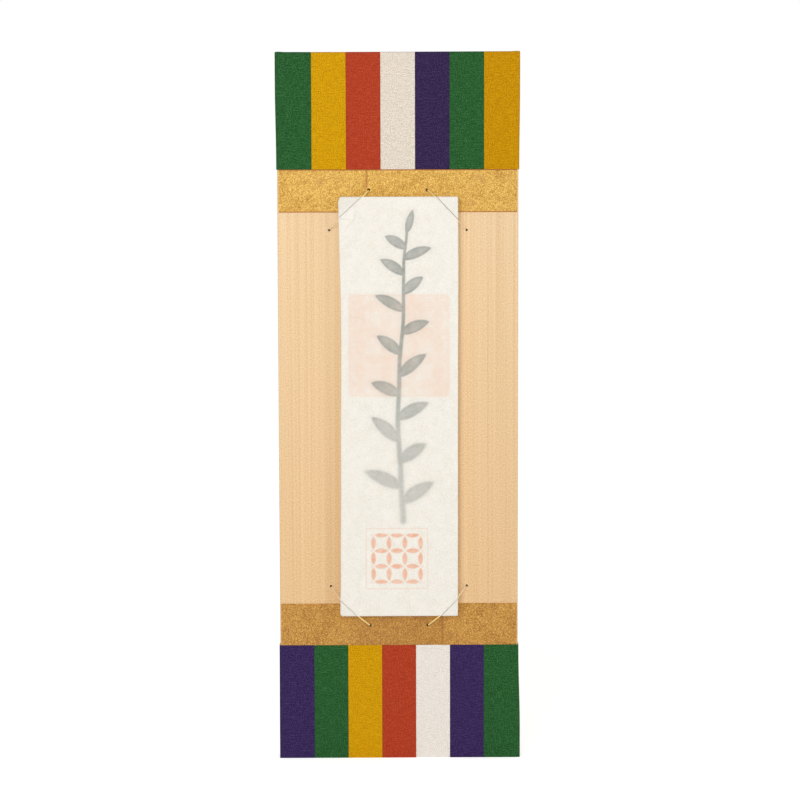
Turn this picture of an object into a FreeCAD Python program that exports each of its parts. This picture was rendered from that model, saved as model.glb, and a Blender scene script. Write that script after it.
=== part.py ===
import FreeCAD, Part
import math
import os

# A wall kamidana panel: a thin wooden board with silk bands wrapped round both ends, and a paper talisman
# packet held flat on it by four elastic cords. Millimetres. The origin is the centre of the board's back
# face, +X is to the viewer's right, +Z is up, and the front faces -Y.

# Talisman packet: a flat core in two paper sleeves and a thin outer wrapper
packet_width = 69.0
packet_height = 245.0
packet_thickness = 6.5
packet_edge_radius = 0.8
packet_rise = 1.2  # its middle above the board's
wrapper_thickness = 0.3
sleeve_thickness = 0.3
sleeve_joint_height = 6.0  # the upper sleeve's lower edge, above the packet's middle

# Board, which stands out past the packet on all sides
board_thickness = 10.0
side_margin = 35.5  # from the packet's side to the board's
arris_radius = 0.7  # the eased front edges

# Gold paper strips between the silk and the bare wood, laid out for a packet in the board's middle
gold_under_packet = 7.8  # how far a strip reaches in past the packet's end
gold_height = 24.8  # what shows beside the silk's edge
gold_lap = 3.0  # what lies under the silk
gold_thickness = 0.25

# Silk stripes, each wrapped over the board's end and turned in on its back
stripe_names_top = ("green_left", "yellow_left", "red", "white", "purple", "green_right", "yellow_right")
stripe_names_bottom = ("purple_left", "green_left", "yellow", "red", "white", "purple_right", "green_right")
silk_thickness = 0.5
silk_front_height = 67.0  # along the front from the board's end
silk_turn_in = 12.0

# Elastic cords across the packet's corners, each knotted in pockets behind its two holes. The holes are
# set out for a packet in the board's middle.
cord_diameter = 0.6
cord_sides = 10
cord_clearance = 0.02
hole_diameter = 1.1
hole_rim = 0.2  # the broken edge at a hole's front mouth
inner_hole_in = 17.5  # from the packet's side towards its middle
inner_hole_beyond = 5.1  # past the packet's end
outer_hole_out = 5.4  # outside the packet's side
outer_hole_back = 18.1  # from the packet's end towards its middle
knot_diameter = 2.4
knot_length = 2.2
knot_shoulder = 0.6  # the taper at both ends of a knot
knot_clearance = 0.05
pocket_diameter = 5.0
pocket_depth = 3.6

# Hole that takes a wall pin, in the middle of the back near the top
hanging_hole_diameter = 8.0
hanging_hole_depth = 6.0
hanging_hole_drop = 60.0  # from the board's top end

# Worked out from the sizes above
half_packet_width = packet_width / 2
half_packet_height = packet_height / 2
gold_edge_z = half_packet_height - gold_under_packet
silk_edge_z = gold_edge_z + gold_height
half_height = silk_edge_z + silk_front_height
half_width = half_packet_width + side_margin
stripe_width = 2 * half_width / len(stripe_names_top)
inner_hole_x = half_packet_width - inner_hole_in
inner_hole_z = half_packet_height + inner_hole_beyond
outer_hole_x = half_packet_width + outer_hole_out
outer_hole_z = half_packet_height - outer_hole_back
cord_radius = cord_diameter / 2
hole_radius = hole_diameter / 2
knot_seat = pocket_depth - knot_clearance
packet_back = board_thickness + gold_thickness
packet_front = packet_back + packet_thickness
overrun = 5.0  # how far a cutter runs past what it cuts

BACK = FreeCAD.Vector(0, 1, 0)


def place(x, depth, z):
    """The point at x and z, so far in front of the wall."""
    return FreeCAD.Vector(x, -depth, z)


def block(x_range, depth_range, z_range):
    """A box from its ranges, with depth counted forward from the wall."""
    size = (x_range[1] - x_range[0], depth_range[1] - depth_range[0], z_range[1] - z_range[0])
    return Part.makeBox(*size, place(x_range[0], depth_range[1], z_range[0]))


def span(z_sign, near, far):
    """The heights from near to far of the middle, at the top end or mirrored at the bottom end."""
    return tuple(sorted((z_sign * near, z_sign * far)))


def ease_front(solid, radius):
    """Rounds the four edges of the front face."""
    front = min(vertex.Y for vertex in solid.Vertexes)
    edges = [edge for edge in solid.Edges if all(abs(v.Y - front) < 1e-6 for v in edge.Vertexes)]
    return solid.makeFillet(radius, edges)


def corners():
    """The signs of x and z at the packet's four corners."""
    return [(x_sign, z_sign) for z_sign in (1, -1) for x_sign in (-1, 1)]


def hole_places():
    """The distances from the middle, across and up, of an inner and an outer cord hole."""
    return (inner_hole_x, inner_hole_z), (outer_hole_x, outer_hole_z)


def hole_mouth(hole_z):
    """The depth at which a hole opens: on the gold paper where it lies there, and else on the wood."""
    return packet_back if gold_edge_z < hole_z < silk_edge_z else board_thickness


def drill(x, z, mouth):
    """A cutter for a cord hole right through, with its front mouth broken."""
    wide = hole_radius + hole_rim
    outline = [
        place(0, -overrun, 0),
        place(hole_radius, -overrun, 0),
        place(hole_radius, mouth - hole_rim, 0),
        place(wide, mouth, 0),
        place(wide, mouth + overrun, 0),
        place(0, mouth + overrun, 0),
    ]
    profile = Part.Face(Part.makePolygon(outline + outline[:1]))
    tool = profile.revolve(FreeCAD.Vector(), BACK, 360)
    tool.translate(place(x, 0, z))
    return tool


def back_bore(x, z, diameter, depth):
    """A round cutter from behind the wall plane to its depth."""
    return Part.makeCylinder(diameter / 2, depth + overrun, place(x, -overrun, z), -BACK)


def cord_holes():
    """The cutters of all eight cord holes."""
    return [
        drill(x_sign * x, z_sign * z, hole_mouth(z)) for x_sign, z_sign in corners() for x, z in hole_places()
    ]


def knot_pockets():
    """The cutters of the eight pockets in the back."""
    return [
        back_bore(x_sign * x, z_sign * z, pocket_diameter, pocket_depth)
        for x_sign, z_sign in corners()
        for x, z in hole_places()
    ]


def hem_rebate(z_sign):
    """The shallow step in the back that the turned-in silk fills, at one end of the board."""
    bare_x = half_width - silk_turn_in
    step = block((-half_width, half_width), (0, silk_thickness), span(z_sign, silk_edge_z, half_height))
    bare = span(z_sign, silk_edge_z - overrun, half_height - silk_turn_in)
    return step.cut(block((-bare_x, bare_x), (-overrun, overrun), bare))


def board_blank():
    """The board with both rebates, before anything is drilled in it."""
    whole = block((-half_width, half_width), (0, board_thickness), (-half_height, half_height))
    return ease_front(whole, arris_radius).cut([hem_rebate(1), hem_rebate(-1)])


def backing_board():
    """The board with its cord holes, knot pockets and hanging hole."""
    pin_hole = back_bore(0, half_height - hanging_hole_drop, hanging_hole_diameter, hanging_hole_depth)
    return board_blank().cut(cord_holes() + knot_pockets() + [pin_hole])


def gold_sheet(z_sign):
    """One strip of gold paper before its holes, from under the packet to under the silk."""
    flat_x = half_width - arris_radius
    return block(
        (-flat_x, flat_x),
        (board_thickness, board_thickness + gold_thickness),
        span(z_sign, gold_edge_z, silk_edge_z + gold_lap),
    )


def gold_strip(z_sign):
    """One strip of gold paper, pierced where the cords pass."""
    return gold_sheet(z_sign).cut(cord_holes())


def silk_band(z_sign):
    """All the silk of one end: front leaf, end, sides and the hems turned in on the back."""
    half_x = half_width + silk_thickness
    half_z = half_height + silk_thickness
    skin = ease_front(
        block((-half_x, half_x), (0, board_thickness + silk_thickness), (-half_z, half_z)),
        arris_radius + silk_thickness,
    )
    end = block(
        (-half_x - overrun, half_x + overrun),
        (-overrun, board_thickness + overrun),
        span(z_sign, silk_edge_z, half_z + overrun),
    )
    return skin.common(end).cut([board_blank(), gold_sheet(z_sign)])


def silk_stripes(z_sign, names):
    """The band cut into its stripes, from left to right, as pairs of name and solid."""
    band = silk_band(z_sign)
    stripes = []
    for number, name in enumerate(names):
        left = -half_width + number * stripe_width
        right = left + stripe_width
        if number == 0:
            left -= overrun
        if number == len(names) - 1:
            right += overrun
        lane = block(
            (left, right),
            (-overrun, board_thickness + overrun),
            span(z_sign, silk_edge_z - overrun, half_height + overrun),
        )
        stripes.append((name, band.common(lane)))
    return stripes


def packet_block(inset, low, high):
    """A block of the packet's section, smaller all round by the inset, between two heights in the packet."""
    half_x = half_packet_width - inset
    heights = (packet_rise + low, packet_rise + high)
    return block((-half_x, half_x), (packet_back + inset, packet_front - inset), heights)


def ofuda_wrapper():
    """The thin outer paper, folded tight all round with soft edges."""
    outside = packet_block(0, -half_packet_height, half_packet_height)
    outside = outside.makeFillet(packet_edge_radius, outside.Edges)
    inner_z = half_packet_height - wrapper_thickness
    return outside.cut(packet_block(wrapper_thickness, -inner_z, inner_z))


def ofuda_sleeve(low, high):
    """A paper sleeve round the core, under the wrapper, between two heights."""
    outside = packet_block(wrapper_thickness, low, high)
    core_inset = wrapper_thickness + sleeve_thickness
    return outside.cut(packet_block(core_inset, low - overrun, high + overrun))


def ofuda_core():
    """The flat stiff core of the packet."""
    inner_z = half_packet_height - wrapper_thickness
    return packet_block(wrapper_thickness + sleeve_thickness, -inner_z, inner_z)


def around(centre, radius, angle):
    """The point of a circle at an angle, in a cord's own plane."""
    return centre[0] + radius * math.cos(angle), centre[1] + radius * math.sin(angle)


def cord_rise(mouth, edge_distance, edge_cosine):
    """One end of a cord in its own plane, as lines and arcs from its knot to the packet's front.

    Each point is a distance from the hole towards the packet, and a depth. The cord turns round the
    hole's rim and then round the packet's edge. It crosses that edge at a slant, so the edge's rounding
    is wider in this plane, by the cosine between the cord's way and the square way across.
    """
    clear = cord_radius + cord_clearance
    rim_turn = hole_rim + clear
    rim_centre = (hole_radius + hole_rim, mouth - hole_rim)
    edge_turn = (packet_edge_radius + clear) / edge_cosine**2
    edge_centre = (edge_distance + packet_edge_radius / edge_cosine, packet_front + clear - edge_turn)
    across = edge_centre[0] - rim_centre[0]
    up = edge_centre[1] - rim_centre[1]
    normal = math.atan2(up, across) + math.acos((rim_turn - edge_turn) / math.hypot(across, up))
    upright, level = math.pi, math.pi / 2
    knot_end = (rim_centre[0] - rim_turn, knot_seat - knot_length / 2)
    return [
        (knot_end, around(rim_centre, rim_turn, upright)),
        tuple(around(rim_centre, rim_turn, a) for a in (upright, (upright + normal) / 2, normal)),
        (around(rim_centre, rim_turn, normal), around(edge_centre, edge_turn, normal)),
        tuple(around(edge_centre, edge_turn, a) for a in (normal, (normal + level) / 2, level)),
    ]


def edges_along(rise, hole, way):
    """The lines and arcs of a cord's end as edges in space, from its hole along its way."""
    edges = []
    for points in rise:
        spots = [hole + way * distance - BACK * depth for distance, depth in points]
        edges.append(Part.Arc(*spots).toShape() if len(spots) == 3 else Part.makeLine(*spots))
    return edges


def cord_route(x_sign, z_sign):
    """The middle line of one cord, from its inner knot over the packet's corner to its outer knot."""
    inner = place(x_sign * inner_hole_x, 0, z_sign * inner_hole_z)
    outer = place(x_sign * outer_hole_x, 0, z_sign * outer_hole_z)
    way = (outer - inner).normalize()
    end_cosine = abs(way.z)
    side_cosine = abs(way.x)
    beyond = inner_hole_beyond - z_sign * packet_rise
    end_rise = cord_rise(hole_mouth(inner_hole_z), beyond / end_cosine, end_cosine)
    side_rise = cord_rise(hole_mouth(outer_hole_z), outer_hole_out / side_cosine, side_cosine)
    first = edges_along(end_rise, inner, way)
    last = edges_along(side_rise, outer, -way)
    level = Part.makeLine(first[-1].valueAt(first[-1].LastParameter), last[-1].valueAt(last[-1].LastParameter))
    return Part.Wire(Part.__sortEdges__(first + [level] + last))


def ring(centre, radius):
    """A closed outline of few sides round a point, square to the board's thickness."""
    turns = [2 * math.pi * side / cord_sides for side in range(cord_sides + 1)]
    return Part.makePolygon(
        [centre + FreeCAD.Vector(radius * math.cos(t), 0, radius * math.sin(t)) for t in turns]
    )


def knot(hole_x, hole_z):
    """A knot drawn up against the floor of its pocket, as a barrel with tapered ends."""
    narrow = knot_diameter / 2 - knot_shoulder
    wide = knot_diameter / 2
    steps = (
        (knot_seat, narrow),
        (knot_seat - knot_shoulder, wide),
        (knot_seat - knot_length + knot_shoulder, wide),
        (knot_seat - knot_length, narrow),
    )
    rings = [ring(place(hole_x, depth, hole_z), radius) for depth, radius in steps]
    return Part.makeLoft(rings, True, True)


def elastic_cord(x_sign, z_sign):
    """One elastic cord with its two knots."""
    route = cord_route(x_sign, z_sign)
    cord = route.makePipeShell([ring(route.OrderedVertexes[0].Point, cord_radius)], True, False)
    section_area = cord_sides / 2 * cord_radius**2 * math.sin(2 * math.pi / cord_sides)
    share = cord.Volume / (section_area * route.Length)
    turns = [round(edge.Curve.Radius, 2) for edge in route.Edges if hasattr(edge.Curve, "Radius")]
    print("cord: volume over section times length", round(share, 4), "radii", turns)
    return cord.fuse([knot(x_sign * x, z_sign * z) for x, z in hole_places()])


def all_pieces():
    """Every piece by its name."""
    inner_z = half_packet_height - wrapper_thickness
    pieces = {
        "backing_board": backing_board(),
        "gold_strip_top": gold_strip(1),
        "gold_strip_bottom": gold_strip(-1),
        "ofuda_core": ofuda_core(),
        "ofuda_sleeve_lower": ofuda_sleeve(-inner_z, sleeve_joint_height),
        "ofuda_sleeve_upper": ofuda_sleeve(sleeve_joint_height, inner_z),
        "ofuda_wrapper": ofuda_wrapper(),
    }
    for end, z_sign, names in (("top", 1, stripe_names_top), ("bottom", -1, stripe_names_bottom)):
        for name, stripe in silk_stripes(z_sign, names):
            pieces[f"silk_{end}_{name}"] = stripe
    for x_sign, z_sign in corners():
        end = "top" if z_sign > 0 else "bottom"
        side = "left" if x_sign < 0 else "right"
        pieces[f"elastic_cord_{end}_{side}"] = elastic_cord(x_sign, z_sign)
    return pieces


os.makedirs("parts", exist_ok=True)
for name, shape in all_pieces().items():
    print(name, len(shape.Solids), "solid", round(shape.Volume, 1), "mm3", shape.isValid())
    shape.exportStep(f"parts/{name}.step")
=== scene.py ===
import math
import bpy
import numpy as np
from mathutils import Matrix, Vector, noise


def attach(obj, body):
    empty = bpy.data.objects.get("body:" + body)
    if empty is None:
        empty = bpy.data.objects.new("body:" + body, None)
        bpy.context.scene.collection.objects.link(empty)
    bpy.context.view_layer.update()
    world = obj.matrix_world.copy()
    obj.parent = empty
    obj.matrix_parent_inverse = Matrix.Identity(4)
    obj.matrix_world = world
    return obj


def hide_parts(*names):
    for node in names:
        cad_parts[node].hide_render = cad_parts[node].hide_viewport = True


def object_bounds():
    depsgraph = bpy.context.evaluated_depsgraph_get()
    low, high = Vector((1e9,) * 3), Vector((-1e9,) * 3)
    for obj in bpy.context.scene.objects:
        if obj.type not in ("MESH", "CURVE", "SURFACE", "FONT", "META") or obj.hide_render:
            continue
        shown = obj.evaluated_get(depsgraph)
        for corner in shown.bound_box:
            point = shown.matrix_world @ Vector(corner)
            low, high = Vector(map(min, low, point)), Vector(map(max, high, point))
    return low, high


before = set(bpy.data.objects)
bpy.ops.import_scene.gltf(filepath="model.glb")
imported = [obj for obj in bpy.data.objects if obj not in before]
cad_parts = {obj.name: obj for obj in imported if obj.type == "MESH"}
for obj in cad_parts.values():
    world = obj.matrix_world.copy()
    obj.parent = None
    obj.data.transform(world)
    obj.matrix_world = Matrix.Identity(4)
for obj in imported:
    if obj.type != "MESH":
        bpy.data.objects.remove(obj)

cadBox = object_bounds()
mm = 0.001

# Camera: where the picture was taken from, worked out from the board's corners, holes and packet
cameraFacts = {
    "place": (-9.28, -1300.0, 109.73),  # mm
    "pitch": -4.625,  # degrees, down
    "yaw": 0.4534,  # degrees, towards the right
    "roll": -0.1471,
    "lens": 99.646, "sensor": 36,  # mm
}
cameraTurn = (
    Matrix.Rotation(math.radians(-cameraFacts["yaw"]), 3, "Z")
    @ Matrix.Rotation(math.radians(90 + cameraFacts["pitch"]), 3, "X")
    @ Matrix.Rotation(math.radians(cameraFacts["roll"]), 3, "Z")
)
bpy.ops.object.camera_add(location=Vector(cameraFacts["place"]) * mm, rotation=cameraTurn.to_euler())
camera = bpy.context.object
camera.data.lens = cameraFacts["lens"]
camera.data.sensor_width = cameraFacts["sensor"]
camera.data.clip_start = 0.05
camera.data.dof.use_dof = False
bpy.context.scene.camera = camera
bpy.context.scene.view_settings.view_transform = "Standard"
print("camera set")


cords = {
    "radius": 0.3,
    "inner": (17.0, 127.6), "outer": (39.9, 104.4),  # the holes, mm across and up from the board's middle
    "mouths": (10.25, 10.0),  # mm from the board's back to the gold paper and to the wood, where they open
    "beside": 0.25,  # how far the cord lies from its hole's middle, against the packet's side of it
    "sink": 0.55,  # how far the soft paper gives under it, so the cord lies nearly flush
    "trench": (-0.28, 0.58),  # the paper hugs the cord's inner side and gapes a little beyond it
    "trenchDeep": 0.62, "trenchSoft": 0.07, "dent": 0.1,
    # mm that the taut cord slips towards the packet's corner, at the packet's end and at its side
    "slip": {(-1, 1): (-0.5, 0.65), (1, 1): (0.6, 0.15), (-1, -1): (0.6, 1.1), (1, -1): (0.7, 0.5)},
    "slant": 1.4,  # times that slip, measured along the packet's edge
    "aside": {(-1, 1): -0.2, (1, 1): 0.2, (-1, -1): 0.15, (1, -1): 0.2},  # mm of slip in its inner hole
    "shade": {(-1, 1): 0.1, (1, 1): 0.5, (-1, -1): 0.2, (1, -1): 0.2},  # how much shade is painted on the paper in the gape
    "flap": {(-1, 1): 0.09, (1, 1): 0.03, (-1, -1): 0.03, (1, -1): 0.03},  # and painted shade on its corner beyond
    "full": {1: 1.45, -1: 1.5},  # times its thickness near the inner holes, where it is stretched less
    "thin": {1: 0.75, -1: 0.95},  # and near the outer holes
    "knotWide": 2.1, "knotLong": 1.4, "knotFront": 3.5, "knotRound": 0.45,
}


def linear(code):  # an sRGB hex value as the linear colour a node takes
    shares = [int(code[at:at + 2], 16) / 255 for at in (1, 3, 5)]
    return (*[s / 12.92 if s <= 0.04045 else ((s + 0.055) / 1.055) ** 2.4 for s in shares], 1.0)


def settle(thing, **facts):  # gives a node, a modifier or a curve its own choices
    for name, value in facts.items():
        setattr(thing, name, value)


def addNode(kind, settings, links={}, tree=None):
    # settings are the node's own choices; links fill its sockets, by name or number, with a value or with a
    # socket, whose tree it joins
    tree = tree or next(value.id_data for value in links.values() if isinstance(value, bpy.types.NodeSocket))
    node = tree.nodes.new("ShaderNode" + kind)
    settle(node, **settings)
    for name, value in links.items():
        socket = node.inputs[name]
        if isinstance(value, bpy.types.NodeSocket):
            tree.links.new(value, socket)
        else:
            socket.default_value = linear(value) if isinstance(value, str) else value
    return node


def reckon(operation, *values, clamped=False):  # one step of arithmetic
    return addNode("Math", {"operation": operation, "use_clamp": clamped}, dict(enumerate(values))).outputs[0]


def ranged(value, low, high, least=0.0, most=1.0, kind="LINEAR"):  # carries one range over to another
    return addNode("MapRange", {"interpolation_type": kind}, {
        "Value": value, "From Min": low, "From Max": high, "To Min": least, "To Max": most}).outputs[0]


def mixed(share, under, over, blend="MIX"):  # a share of one colour laid over another
    return addNode("Mix", {"data_type": "RGBA", "blend_type": blend},
                   {0: share, 6: under, 7: over}).outputs[2]


def ramp(share, *stops):  # a colour for each share, from stops of place and colour
    node = addNode("ValToRGB", {}, {"Fac": share})
    for extra in stops[2:]:
        node.color_ramp.elements.new(0.5)
    for element, (position, colour) in zip(node.color_ramp.elements, stops):
        element.position = position
        element.color = linear(colour)
    return node.outputs[0]


def speckle(spot, sizes, detail=2.0, roughness=0.5):  # noise, its grains so many mm along each axis
    place = addNode("Mapping", {}, {"Vector": spot, "Scale": [1000 / s for s in sizes]}).outputs[0]
    return addNode("TexNoise", {}, {
        "Vector": place, "Scale": 1.0, "Detail": detail, "Roughness": roughness}).outputs[0]


def uneven(height, strength, deep):  # fine relief, so many mm deep
    return addNode("Bump", {}, {
        "Strength": strength, "Distance": deep * mm, "Height": height}).outputs[0]


def marked(tree, name):  # a mark carried by the mesh's points
    return addNode("Attribute", {"attribute_name": name}, tree=tree).outputs["Fac"]


def objectSpot(tree):
    return addNode("TexCoord", {}, tree=tree).outputs["Object"]


def newMaterial(name):
    material = bpy.data.materials.new(name)
    material.use_nodes = True
    material.node_tree.nodes.clear()
    return material, material.node_tree


def finished(material, links):  # gives the material its shader, with values and finished sockets
    shader = addNode("BsdfPrincipled", {}, links)
    addNode("OutputMaterial", {}, {"Surface": shader.outputs[0]})
    return material


def aroundHoles(spot, ring):  # the share of a mark within so many mm of the eight cord holes
    quarter = addNode("VectorMath", {"operation": "ABSOLUTE"}, {0: spot}).outputs[0]
    flat = addNode("VectorMath", {"operation": "MULTIPLY"}, {0: quarter, 1: (1, 0, 1)}).outputs[0]
    reach = [addNode("VectorMath", {"operation": "DISTANCE"}, {0: flat, 1: (across * mm, 0, up * mm)})
             .outputs["Value"] for across, up in (cords["inner"], cords["outer"])]
    return ranged(reckon("MINIMUM", *reach), ring * mm, (ring - 0.1) * mm)


def hinokiWood():
    # Hinoki cypress, quarter-sawn and planed: fine straight rings run up the board, pale and satin, no pores
    wood = {
        "upper": "#f4d6ab", "lower": "#edc898",  # the board is darker towards its lower end
        "toneReach": 0.11,  # m above and below the middle
        "right": "#c8b08e", "shadedRightReach": 0.06, "rightShare": 0.13,  # painted shade: the board is greyer towards its right side, away from the light
        "late": "#d3a26c",
        "ring": (1.2, 8, 300), "ringShare": 0.34,  # mm across, through and up the board
        "strong": 9.5, "bend": (26, 40, 420),  # mm between the few rings that stand out, and how they wander
        "lineWide": 0.3, "lineShare": 0.42, "break": (7, 12, 38),
        "fibre": (0.5, 0.5, 0.9),
        "drilled": "#3a1500", "woodHoleShadeRing": 0.7,  # painted shade: the walls and rims of the cord holes are darkened where the holes lie in shade
    }
    material, tree = newMaterial("planed_hinoki")
    spot = objectSpot(tree)
    across, _, height = addNode("SeparateXYZ", {}, {"Vector": spot}).outputs
    colour = mixed(ranged(height, -wood["toneReach"], wood["toneReach"]), wood["lower"], wood["upper"])
    # painted shade on the board's right side
    rightShade = ranged(across, 0.0, wood["shadedRightReach"], 0.0, wood["rightShare"])
    colour = mixed(rightShade, colour, wood["right"])
    rings = ranged(speckle(spot, wood["ring"]), 0.28, 0.72, 0.0, wood["ringShare"])
    colour = mixed(rings, colour, wood["late"])
    bend = speckle(spot, wood["bend"], 1.0)
    ringCount = reckon("MULTIPLY_ADD", across, 1000 / wood["strong"], bend)
    offCentre = reckon("PINGPONG", ringCount, 0.5)
    line = ranged(offCentre, wood["lineWide"] / wood["strong"], 0.0, kind="SMOOTHSTEP")
    shown = ranged(speckle(spot, wood["break"], 1.0), 0.38, 0.68, 0.0, wood["lineShare"])
    lines = reckon("MULTIPLY", line, shown)
    colour = mixed(lines, colour, wood["late"])
    fibres = speckle(spot, wood["fibre"], 3.0, 0.7)
    colour = mixed(1.0, colour, ranged(fibres, 0.2, 0.8), "SOFT_LIGHT")
    # painted shade in and around the cord holes, with no gloss there
    woodHoleShadeShare = aroundHoles(spot, wood["woodHoleShadeRing"])
    return finished(material, {
        "Roughness": 0.55,
        "Base Color": mixed(woodHoleShadeShare, colour, wood["drilled"]),
        "Specular IOR Level": ranged(woodHoleShadeShare, 0.0, 1.0, 0.25, 0.0),
        "Normal": uneven(reckon("MULTIPLY_ADD", lines, 0.6, fibres), 0.3, 0.05)})


def goldPaper(name, tint):
    # Gold-flecked paper: brass-gold powder pressed on a sized sheet; it glitters unevenly, not like a mirror
    gold = {
        # mm, with the detail of each; the powder is drawn coarser than it is, to show
        "powder": (0.5, 3.0), "speck": (1.2, 1.5), "cloud": (9, 2.0),
        # painted shade in and around the cord holes
        "goldHoleShadeRing": 0.9, "pierced": "#2a0e00",
        "streakWide": 1.2, "streakFade": 2.5,  # mm, the rubbed streak above one hole
        "packetShade": (36, 16),  # mm from the middle line, where painted shade below the packet begins and where it is deepest
        "edges": ((115.4, 115.0), (138.7, 139.1)),  # mm up, where painted shadow lies under the upper strip's cut edge and under the silk's edge
    }
    material, tree = newMaterial(name)
    spot = objectSpot(tree)
    powder, specks, clouds = (speckle(spot, (size, 30, size), detail, 0.7) for size, detail in (
        gold["powder"], gold["speck"], gold["cloud"]))
    level = ranged(reckon("MULTIPLY_ADD", clouds, 0.2, powder), 0.45, 0.75)
    colour = ramp(level, (0.0, tint["dark"]), (0.32, tint["low"]), (0.62, tint["main"]), (1.0, tint["pale"]))
    for grain, low, high, share, tone in (
            (specks, 0.63, 0.72, 0.7, "brown"), (specks, 0.36, 0.28, 0.6, "pale"),  # dull specks, bright ones
            (clouds, 0.56, 0.72, 0.4, "brown")):  # and where the powder lies thin
        colour = mixed(ranged(grain, low, high, 0.0, share), colour, tint[tone])
    across, _, up = addNode("SeparateXYZ", {}, {"Vector": spot}).outputs
    offStreak = reckon("ABSOLUTE", reckon("ADD", across, -tint["streakAt"]))
    streak = ranged(offStreak, gold["streakWide"] * mm, 0.0, 0.0, tint["streak"], "SMOOTHSTEP")
    fade = (tint["streakFrom"], tint["streakFrom"] + gold["streakFade"] * mm)
    aboveHole = ranged(reckon("ABSOLUTE", up), *fade, 0.0, 1.2)
    broken = reckon("MULTIPLY", reckon("MULTIPLY", streak, aboveHole), powder)
    # painted shade: the lower strip is darker in its middle, under the packet
    packetShade = ranged(reckon("ABSOLUTE", across), *[place * mm for place in gold["packetShade"]],
                     0.0, tint["packetShade"], "SMOOTHSTEP")
    # painted shadow lines under the upper strip's cut edge and under the silk's edge
    edgeShadow = reckon("MAXIMUM", *[
        ranged(up, low * mm, high * mm, 0.0, tint["cutEdge"]) for low, high in gold["edges"]])
    for share in (packetShade, broken, edgeShadow):
        colour = mixed(share, colour, tint["brown"])
    # painted shade in and around the cord holes, without metal or gloss there
    pierced = aroundHoles(spot, gold["goldHoleShadeRing"])
    return finished(material, {
        "Base Color": mixed(pierced, colour, gold["pierced"]),
        "Metallic": ranged(pierced, 0.0, 1.0, 0.3, 0.0),
        "Specular IOR Level": ranged(pierced, 0.0, 1.0, 0.4, 0.0),
        "Roughness": ranged(powder, 0.0, 1.0, 0.4, 0.65),
        "Normal": uneven(powder, 0.45, 0.06)})


def slubSilk(name, tint):
    # Slub silk on a paper backing: a plain weave, its threads drawn 0.6 mm coarse to show, and a few thick
    # weft threads that stand up
    yarn = {"thread": 0.6, "run": 4, "grain": (0.6, 0.55, 1), "slub": (15, 0.9, 1)}  # mm
    dark, main, light = tint
    material, tree = newMaterial(name)
    weave = addNode("UVMap", {"uv_map": "weave"}, tree=tree).outputs[0]  # metres along the weft and the warp
    cloth = speckle(weave, (yarn["thread"], yarn["run"], 1))
    for share, other in ((0.6, speckle(weave, (yarn["run"], yarn["thread"], 1))),
                         (0.68, speckle(weave, yarn["grain"], 2.0, 0.7))):
        cloth = addNode("Mix", {"data_type": "FLOAT"}, {0: share, 2: cloth, 3: other}).outputs[0]
    slubs = ranged(speckle(weave, yarn["slub"], 0.0), 0.71, 0.82)
    plain = ramp(ranged(cloth, 0.405, 0.595), (0.0, dark), (0.5, main), (1.0, light))
    return finished(material, {
        "Roughness": 0.72, "Sheen Weight": 0.03, "Sheen Roughness": 0.5, "Specular IOR Level": 0.06,
        "Base Color": mixed(reckon("MULTIPLY", slubs, 0.4), plain, light),
        "Normal": uneven(reckon("MULTIPLY_ADD", slubs, 1.5, cloth), 0.7, 0.13)})


def wrapperPaper():
    # Thin washi folded over the printed packet: long kozo fibres, a matt face, and the ink and stamps showing
    # faintly through
    paper = {"pulp": (5, 5, 7), "fine": (0.55, 0.55, 0.6), "mottle": (2.2, 2.2, 2.2),  # mm
             "low": "#f0ebe1", "high": "#f5f1e9", "shade": "#8f8068"}
    material, tree = newMaterial("washi_wrapper")
    spot = objectSpot(tree)
    pulp = speckle(spot, paper["pulp"], 4.0, 0.6)
    fine = ranged(speckle(spot, paper["fine"]), 0.22, 0.78)
    colour = ramp(pulp, (0.3, paper["low"]), (0.7, paper["high"]))
    colour = mixed(0.7, colour, fine, "SOFT_LIGHT")
    worn = ranged(speckle(spot, paper["mottle"], 3.0), 0.3, 0.7, 0.6)
    evenInk = ranged(worn, 0.6, 1.0, 0.82)
    for mark, wear, tone in (
            ("pinkStamp", worn, "#f3dccb"), ("redStamp", worn, "#efae8c"), ("inkWash", evenInk, "#979a95")):
        colour = mixed(reckon("MULTIPLY", marked(tree, mark), wear), colour, tone)
    return finished(material, {
        "Roughness": 0.8, "Specular IOR Level": 0.25, "Sheen Weight": 0.06,
        # painted shade in the cords' grooves and on the corners beyond them
        "Base Color": mixed(marked(tree, "grooveShade"), colour, paper["shade"]),
        "Normal": uneven(pulp, 0.3, 0.1)})


def innerPaper():
    # Plain washi sleeve under the wrapper: matt, cream, with long fibres
    material, tree = newMaterial("washi_sleeve")
    fibre = speckle(objectSpot(tree), (1, 1, 6), 4.0)
    return finished(material, {"Base Color": ramp(fibre, (0.3, "#ece3d0"), (0.7, "#f5efe2")),
                               "Roughness": 0.85, "Normal": uneven(fibre, 0.3, 0.1)})


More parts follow.
